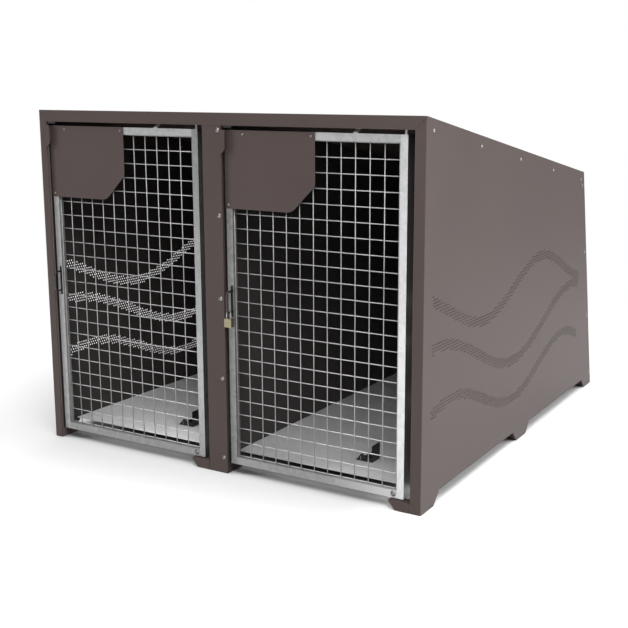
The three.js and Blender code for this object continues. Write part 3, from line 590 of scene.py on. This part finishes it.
for k, z in enumerate(POST_HEIGHTS):
    casing_bolt(f"post_bolt_{k + 1}", spot(POST_X, 0, z), (0, -1, 0), POST_BOLT)
for side, name in ((-1, "left"), (1, "right")):
    for k, (y, z) in enumerate(REAR_EDGE_PLACES):
        casing_bolt(f"rear_edge_bolt_{name}_{k + 1}", spot(side * HALF_WIDTH, y, z),
                    (side, 0, 0), EDGE_BOLT)
for bay, door in DOOR_LEFT.items():
    for k, (x, z) in enumerate(PLATE_PLACES):
        head(f"plate_rivet_{bay}_{k + 1}", spot(door + x, PLATE_FACE, z), (0, -1, 0),
             PLATE_RIVET, f"door_{bay}")
    x, y, z = RAIL_PLACE
    head(f"rail_bolt_{bay}", spot(door + x, y, z), (0, -1, 0),
         RAIL_BOLT, f"door_{bay}")
rear_angle = math.atan(REAR_LEAN)
rear_normal = (0, math.cos(rear_angle), math.sin(rear_angle))
for k in range(REAR_COLUMNS):
    x = -REAR_HALF_SPREAD + 2 * REAR_HALF_SPREAD * k / (REAR_COLUMNS - 1)
    for name, z in (("top", REAR_HIGH), ("low", REAR_LOW)):
        casing_bolt(f"rear_{name}_bolt_{k + 1}", spot(x, DEPTH - REAR_LEAN * z, z),
                    rear_normal, REAR_BOLT)
for bay, edge in FLOOR_EDGE.items():
    for k, y in enumerate(FLOOR_DEPTHS):
        for n, x in enumerate(FLOOR_OFFSETS):
            head(f"floor_bolt_{bay}_{k + 1}_{n + 1}", spot(edge + x, y, FLOOR_FACE), (0, 0, 1),
                 FLOOR_BOLT, "locker")

# Studio floor: pale, with a wide soft painted shade round the locker and a dark painted
# shade under it. Each shade is full up to the first number of a row and gone at the second.
FLOOR_SIZE = 60
FLOOR_Z = -0.0015
PAINTED_HALO = (("X", 0.60, 0.90), ("X", -0.92, -2.80), ("Y", -1.02, -1.95), ("Y", 0.90, 1.20))
PAINTED_UNDER = (("X", 0.60, 0.82), ("X", -0.90, -0.97), ("Y", -0.86, -1.06), ("Y", 0.80, 0.98))
PAINTED_HALO_TONE = 0.61
PAINTED_UNDER_TONE = 0.12
# The floor throws less light on the locker than its own tone would
BOUNCE_TONE = 0.20
# Distance over which the floor that the camera sees fades to white
FADE = (2.0, 3.4)


def painted_shade_share(tree, place, rows):
    """One inside the rows' limits and zero outside, with soft edges."""
    whole = None
    for axis, full, gone in rows:
        share = map_range(tree, place[axis], (full, gone), (1.0, 0.0), smooth=True)
        whole = share if whole is None else calculate(tree, "MULTIPLY", whole, share)
    return whole


def studio_floor():
    bpy.ops.mesh.primitive_plane_add(size=FLOOR_SIZE, location=(0, 0, FLOOR_Z))
    floor = bpy.context.object
    floor.name = "studio_floor"
    mat, tree, bsdf = new_material("studio_floor")
    bsdf.inputs["Roughness"].default_value = 0.9
    bsdf.inputs["Specular IOR Level"].default_value = 0.1
    uneven = noise(tree, object_coords(tree), scale=0.6)
    tone = two_tone(tree, uneven, grey(0.81), grey(0.83))
    place = axes_of(tree, "Object")
    # Painted shade: both shades darken the floor's own colour
    for grey_tone, rows in ((PAINTED_HALO_TONE, PAINTED_HALO), (PAINTED_UNDER_TONE, PAINTED_UNDER)):
        tone = toned(tree, tone, grey_tone, painted_shade_share(tree, place, rows))
    ray = tree.nodes.new("ShaderNodeLightPath").outputs
    tone = toned(tree, tone, BOUNCE_TONE, ray["Is Diffuse Ray"])
    tree.links.new(tone, bsdf.inputs["Base Color"])
    distance = tree.nodes.new("ShaderNodeVectorMath")
    distance.operation = "LENGTH"
    tree.links.new(object_coords(tree), distance.inputs[0])
    far = map_range(tree, distance.outputs["Value"], FADE, smooth=True)
    seen = calculate(tree, "MULTIPLY", ray["Is Camera Ray"], far)
    white = tree.nodes.new("ShaderNodeEmission")
    white.inputs["Color"].default_value = (1, 1, 1, 1)
    blend = tree.nodes.new("ShaderNodeMixShader")
    tree.links.new(seen, blend.inputs["Fac"])
    tree.links.new(bsdf.outputs["BSDF"], blend.inputs[1])
    tree.links.new(white.outputs["Emission"], blend.inputs[2])
    tree.links.new(blend.outputs["Shader"], tree.nodes["Material Output"].inputs["Surface"])
    floor.data.materials.append(mat)


studio_floor()

# Surrounding light: brighter towards the upper right, and plain white to the camera
SKY_DIRECTION = (0.80, 0.05, 0.60)
SKY_STRENGTH = (0.05, 0.52)


def studio_world():
    world = bpy.data.worlds.new("studio")
    bpy.context.scene.world = world
    world.use_nodes = True
    tree = world.node_tree
    sky = tree.nodes["Background"]
    sky.inputs["Color"].default_value = (1, 1, 1, 1)
    direction = tree.nodes.new("ShaderNodeTexCoord")
    towards = tree.nodes.new("ShaderNodeVectorMath")
    towards.operation = "DOT_PRODUCT"
    towards.inputs[1].default_value = SKY_DIRECTION
    tree.links.new(direction.outputs["Generated"], towards.inputs[0])
    strength = map_range(tree, towards.outputs["Value"], (-1.0, 1.0), SKY_STRENGTH)
    tree.links.new(strength, sky.inputs["Strength"])
    plain = tree.nodes.new("ShaderNodeBackground")
    plain.inputs["Color"].default_value = (1, 1, 1, 1)
    ray = tree.nodes.new("ShaderNodeLightPath")
    mix = tree.nodes.new("ShaderNodeMixShader")
    tree.links.new(ray.outputs["Is Camera Ray"], mix.inputs["Fac"])
    tree.links.new(sky.outputs["Background"], mix.inputs[1])
    tree.links.new(plain.outputs["Background"], mix.inputs[2])
    tree.links.new(mix.outputs["Shader"], tree.nodes["World Output"].inputs["Surface"])


studio_world()


# Lamps: place, aim, size, watts and spread in degrees
def lamp(name, location, target, size, energy, spread=180):
    data = bpy.data.lights.new(name, "AREA")
    data.shape = "RECTANGLE"
    data.size, data.size_y = size
    data.energy = energy
    data.spread = math.radians(spread)
    obj = bpy.data.objects.new(name, data)
    obj.location = location
    direction = Vector(target) - Vector(location)
    obj.rotation_euler = direction.to_track_quat("-Z", "Y").to_euler()
    bpy.context.scene.collection.objects.link(obj)
    return obj


lamp("above", (0.8, -0.3, 6.0), (0.4, -0.3, 0), (8.0, 8.0), 250, 110)
lamp("front", (3.0, -4.0, 5.6), (0.4, -0.9, 0.2), (3.5, 2.5), 155)
left = lamp("left", (-26.0, -12.2, 6.2), (0.0, -1.0, 0.6), (7.0, 5.0), 10500)
left.visible_glossy = False
lamp("right", (5.6, 0.8, 2.6), (0.9, 0.4, 0.6), (4.0, 3.0), 160)
lamp("near", (1.7, -3.2, 3.2), (0.8, -1.0, 1.2), (1.6, 1.2), 34)

# Camera at the photo's place: its axes in the part's frame were worked out from the edges
CAMERA_PLACE = (2.4260, -3.10183, 1.48088)
CAMERA_RIGHT = Vector((0.881451, 0.472174, 0.009777))
CAMERA_DOWN = Vector((0.095804, -0.158498, -0.9827))
CAMERA_FORWARD = Vector((-0.462455, 0.867139, -0.184945))
PICTURE_SIZE = 628


def photo_camera():
    data = bpy.data.cameras.new("photo")
    camera = bpy.data.objects.new("photo", data)
    bpy.context.scene.collection.objects.link(camera)
    axes = Matrix((CAMERA_RIGHT, -CAMERA_DOWN, -CAMERA_FORWARD)).transposed().to_4x4()
    camera.matrix_world = Matrix.Translation(spot(*CAMERA_PLACE)) @ axes
    data.sensor_width = 36
    data.lens = 57.37
    data.shift_x = -0.1183
    data.shift_y = -0.0343
    data.clip_start = 0.05
    data.clip_end = 60
    scene = bpy.context.scene
    scene.camera = camera
    scene.render.resolution_x = PICTURE_SIZE
    scene.render.resolution_y = PICTURE_SIZE
    scene.view_settings.view_transform = "Standard"


photo_camera()
